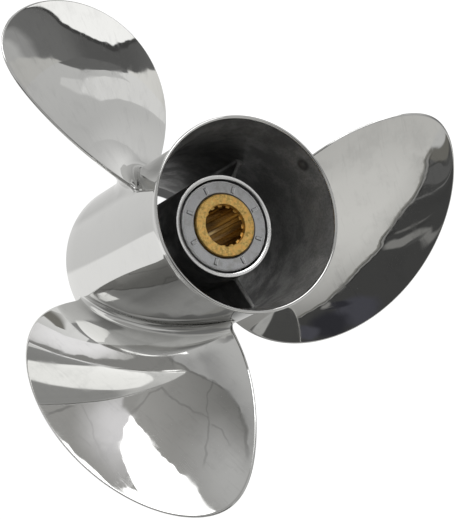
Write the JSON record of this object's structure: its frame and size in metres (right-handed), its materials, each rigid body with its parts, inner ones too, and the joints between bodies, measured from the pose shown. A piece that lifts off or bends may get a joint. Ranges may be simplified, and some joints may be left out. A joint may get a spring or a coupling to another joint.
{
  "type": "outboard motor propeller",
  "caption": "Mirror-polished stainless outboard propeller: broad raked blades on a flared exhaust barrel, with a splined brass sleeve in its inner tube.",
  "frame": {"origin": "on the shaft's axis, in the plane of the barrel's front end, on which the propeller stands", "axes": "+Z along the shaft's axis and pointing aft, out of the flared end; a rib lies along +X"},
  "size_m": [0.3223, 0.3339, 0.1635],
  "materials": {
    "polished_stainless": "mirror-polished stainless steel",
    "blackened_steel": "satin black inside the exhaust barrel",
    "rubber": "moulded rubber",
    "grey_moulding": "matte grey moulding with raised radial marks",
    "brass": "machined brass with a fine-grained end face"
  },
  "bodies": {
    "root": {"outer_barrel": "polished_stainless", "inner_tube": "polished_stainless", "blade_1": "polished_stainless", "blade_2": "polished_stainless", "blade_3": "polished_stainless", "rib_1": "blackened_steel", "rib_2": "blackened_steel", "rib_3": "blackened_steel", "rubber_bush": "rubber", "end_ring": "grey_moulding", "splined_sleeve": "brass"}
  },
  "joints": []
}
